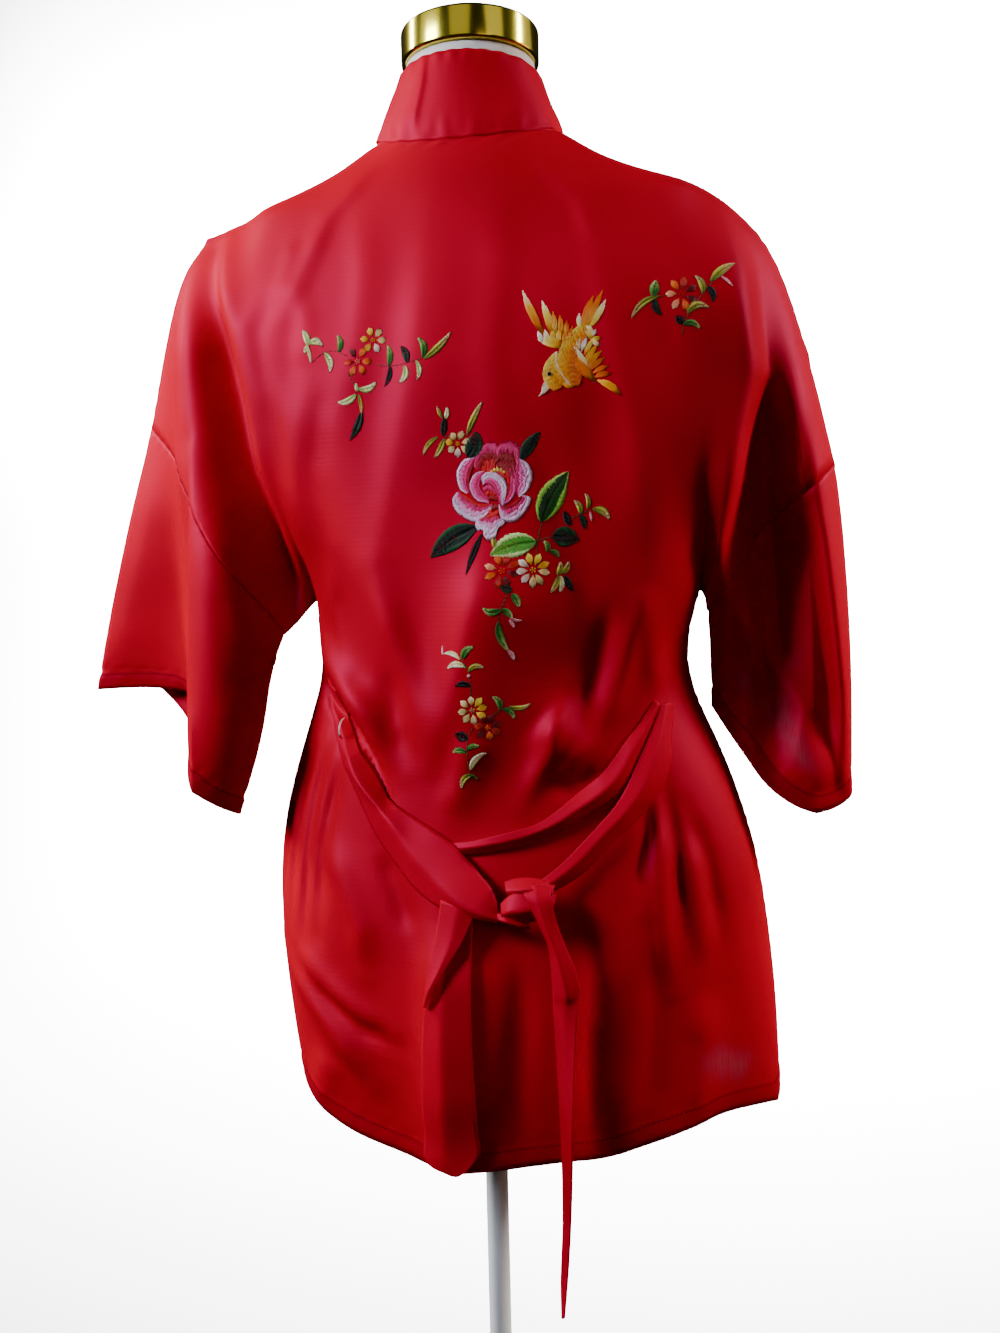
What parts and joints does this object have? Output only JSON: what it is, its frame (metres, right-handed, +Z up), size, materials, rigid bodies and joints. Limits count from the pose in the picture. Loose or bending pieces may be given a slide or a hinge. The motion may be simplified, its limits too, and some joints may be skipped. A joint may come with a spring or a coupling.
{
  "type": "embroidered chinese robe on a limbless dress form",
  "caption": "Short red silk robe with wide sleeves, a standing collar and its own sash tied behind, worn by a white dress form on a pole and round base.",
  "frame": {"origin": "middle of the base's flat underside, under the pole", "axes": "+Z up along the pole, +Y the robe's back, +X the wearer's left"},
  "size_m": [0.6693, 0.3569, 1.507],
  "materials": {
    "robe_silk": "satin woven silk",
    "sash_silk": "satin woven silk, doubled",
    "form_cover": "white stretched jersey",
    "cap_brass": "polished, spun",
    "stand_paint": "white powder coat"
  },
  "bodies": {
    "root": {"back": "robe_silk", "front_left": "robe_silk", "front_right": "robe_silk", "sleeve_left": "robe_silk", "sleeve_right": "robe_silk", "collar": "robe_silk", "band_left": "robe_silk", "band_right": "robe_silk", "sash_left": "sash_silk", "sash_right_upper": "sash_silk", "sash_right_lower": "sash_silk", "sash_tail_left": "sash_silk", "sash_tail_right": "sash_silk", "sash_front": "sash_silk", "sash_knot": "sash_silk", "torso": "form_cover", "neck_cap": "cap_brass", "pole_flange": "stand_paint", "pole": "stand_paint", "base_collar": "stand_paint", "base": "stand_paint"}
  },
  "joints": []
}
